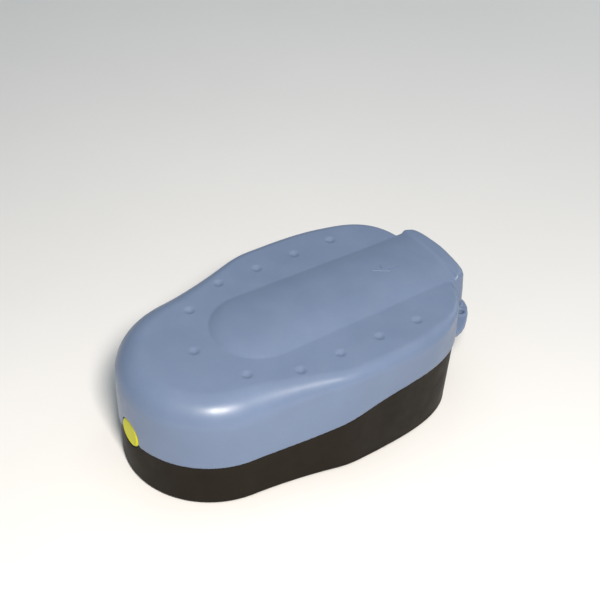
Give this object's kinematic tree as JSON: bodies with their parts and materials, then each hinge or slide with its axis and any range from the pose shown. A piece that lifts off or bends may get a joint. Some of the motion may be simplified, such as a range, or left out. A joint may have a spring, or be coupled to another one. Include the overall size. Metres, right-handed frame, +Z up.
{
  "type": "fence energizer",
  "caption": "Portable fence energizer: pebble-shaped case, blue-grey cover on a dark base, yellow power button at the nose, knob terminals and a charging socket under a rain hood.",
  "frame": {"origin": "on the floor, in the middle of the case's bounding box", "axes": "+Z up, -Y towards the nose with the power button, +Y towards the terminals, +X to the case's right seen from the nose's rear"},
  "size_m": [0.152, 0.256, 0.0902],
  "materials": {
    "cover_plastic": "satin",
    "base_plastic": "satin",
    "yellow_plastic": "satin",
    "seal_rubber": "matte",
    "foam": "matte",
    "black_plastic": "satin",
    "red_plastic": "satin",
    "green_plastic": "satin",
    "circuit_board": "satin",
    "capacitor_plastic": "satin",
    "battery_plastic": "satin",
    "sleeve_plastic": "gloss",
    "cream_plastic": "satin",
    "fuse_plastic": "gloss",
    "led_lens": "gloss",
    "ferrite": "matte",
    "steel": "satin",
    "dark_steel": "satin",
    "brass": "satin",
    "copper": "satin",
    "aluminium": "satin"
  },
  "bodies": {
    "case": {"top_cover": "cover_plastic", "base_shell": "base_plastic", "seal_gasket": "seal_rubber", "button_guide": "black_plastic", "button_spring": "steel", "push_switch": "black_plastic", "pulse_led": "led_lens", "front_board": "circuit_board", "case_screw_1": "steel", "case_screw_2": "steel", "case_screw_3": "steel", "case_screw_4": "steel", "case_screw_5": "steel", "case_screw_6": "steel", "rubber_foot_1": "seal_rubber", "rubber_foot_2": "seal_rubber", "rubber_foot_3": "seal_rubber", "rubber_foot_4": "seal_rubber", "fence_stud": "brass", "fence_stud_nut": "steel", "fence_lug": "brass", "earth_stud": "brass", "earth_stud_nut": "steel", "earth_lug": "brass", "solar_socket": "black_plastic", "solar_socket_nut": "black_plastic", "solar_socket_pin": "brass", "socket_flap_pin": "steel", "battery_case": "battery_plastic", "battery_tab_positive": "steel", "battery_tab_negative": "steel", "battery_strap": "dark_steel", "battery_foam_pad": "foam", "strap_screw_1": "steel", "strap_screw_2": "steel", "main_board": "circuit_board", "board_screw_1": "steel", "board_screw_2": "steel", "board_screw_3": "steel", "board_screw_4": "steel", "storage_capacitor": "capacitor_plastic", "charger_core": "ferrite", "charger_winding": "copper", "filter_capacitor": "sleeve_plastic", "heat_sink": "aluminium", "thyristor": "black_plastic", "blade_fuse": "fuse_plastic", "lead_plug": "cream_plastic", "output_core": "dark_steel", "output_winding": "copper", "output_bracket": "steel"},
    "button": {"power_button": "yellow_plastic", "button_seal_ring": "seal_rubber", "switch_plunger": "cream_plastic"},
    "fence_clamp": {"fence_clamp_washer": "steel"},
    "fence_hand_knob": {"fence_knob": "red_plastic"},
    "earth_clamp": {"earth_clamp_washer": "steel"},
    "earth_hand_knob": {"earth_knob": "green_plastic"},
    "socket_cover": {"solar_socket_flap": "seal_rubber"}
  },
  "joints": [
    {"name": "button_press", "type": "slide", "parent": "case", "child": "button", "axis": [0, 1, 0], "range_m": [0, 0.0025], "stiffness_N_per_m": 600, "deforming": ["button_spring"]},
    {"name": "fence_clamp_slide", "type": "slide", "parent": "case", "child": "fence_clamp", "axis": [0, 1, 0], "range_m": [0, 0.002]},
    {"name": "fence_knob_turn", "type": "hinge", "parent": "fence_clamp", "child": "fence_hand_knob", "pos_m": [-0.022, 0.119, 0.031], "axis": [0, 1, 0], "range_deg": [0, 720]},
    {"name": "earth_clamp_slide", "type": "slide", "parent": "case", "child": "earth_clamp", "axis": [0, 1, 0], "range_m": [0, 0.002]},
    {"name": "earth_knob_turn", "type": "hinge", "parent": "earth_clamp", "child": "earth_hand_knob", "pos_m": [0.022, 0.119, 0.031], "axis": [0, 1, 0], "range_deg": [0, 720]},
    {"name": "socket_cover_hinge", "type": "hinge", "parent": "case", "child": "socket_cover", "pos_m": [0, 0.115, 0.0425], "axis": [1, 0, 0], "range_deg": [0, 110]}
  ],
  "couplings": [
    {"joint": "fence_knob_turn", "follows": "fence_clamp_slide", "rad_per_m": 6283.2},
    {"joint": "earth_knob_turn", "follows": "earth_clamp_slide", "rad_per_m": 6283.2}
  ]
}
